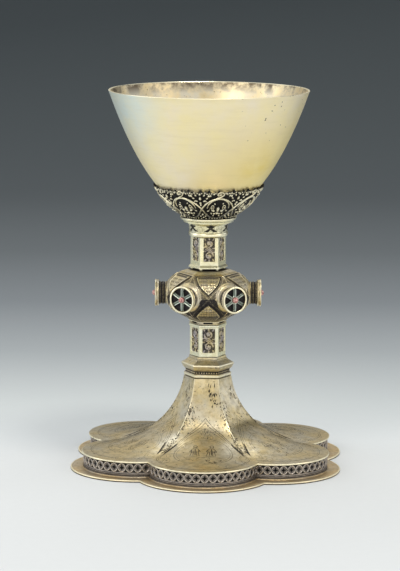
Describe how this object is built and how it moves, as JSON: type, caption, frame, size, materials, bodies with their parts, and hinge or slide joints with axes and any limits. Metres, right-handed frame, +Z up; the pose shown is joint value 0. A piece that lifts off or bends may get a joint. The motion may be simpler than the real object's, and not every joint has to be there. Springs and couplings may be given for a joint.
{
  "type": "chalice",
  "caption": "Altar chalice with a conical bowl in a leaf calyx, a hexagonal stem with a studded knot, and a wide lobed foot with a pierced gallery.",
  "frame": {"origin": "on the surface it stands on, under the middle of the foot", "axes": "+Z up along the stem, front lobe of the foot towards -Y"},
  "size_m": [0.1454, 0.1544, 0.1997],
  "materials": {
    "gilt_silver": "worn gilding over silver, satin, with dark patina in the engraving",
    "pale_gilt_silver": "raised and burnished, pale and slightly cloudy",
    "tarnished_gilt_silver": "cast openwork, dark in the hollows and bright on the edges",
    "grey_silver": "tarnished silver",
    "pink_stone": "polished, nearly opaque"
  },
  "bodies": {
    "root": {"foot_flange": "gilt_silver", "foot_gallery": "tarnished_gilt_silver", "foot": "gilt_silver", "foot_collar": "gilt_silver", "lower_stem": "gilt_silver", "knot": "gilt_silver", "stud_1": "gilt_silver", "stud_2": "gilt_silver", "stud_3": "gilt_silver", "stud_4": "gilt_silver", "stud_5": "gilt_silver", "stud_6": "gilt_silver", "star_1": "grey_silver", "star_2": "grey_silver", "star_3": "grey_silver", "star_4": "grey_silver", "star_5": "grey_silver", "star_6": "grey_silver", "stone_1": "pink_stone", "stone_2": "pink_stone", "stone_3": "pink_stone", "stone_4": "pink_stone", "stone_5": "pink_stone", "stone_6": "pink_stone", "upper_stem": "gilt_silver", "calyx_dish": "gilt_silver", "calyx": "tarnished_gilt_silver", "bowl": "pale_gilt_silver"}
  },
  "joints": []
}
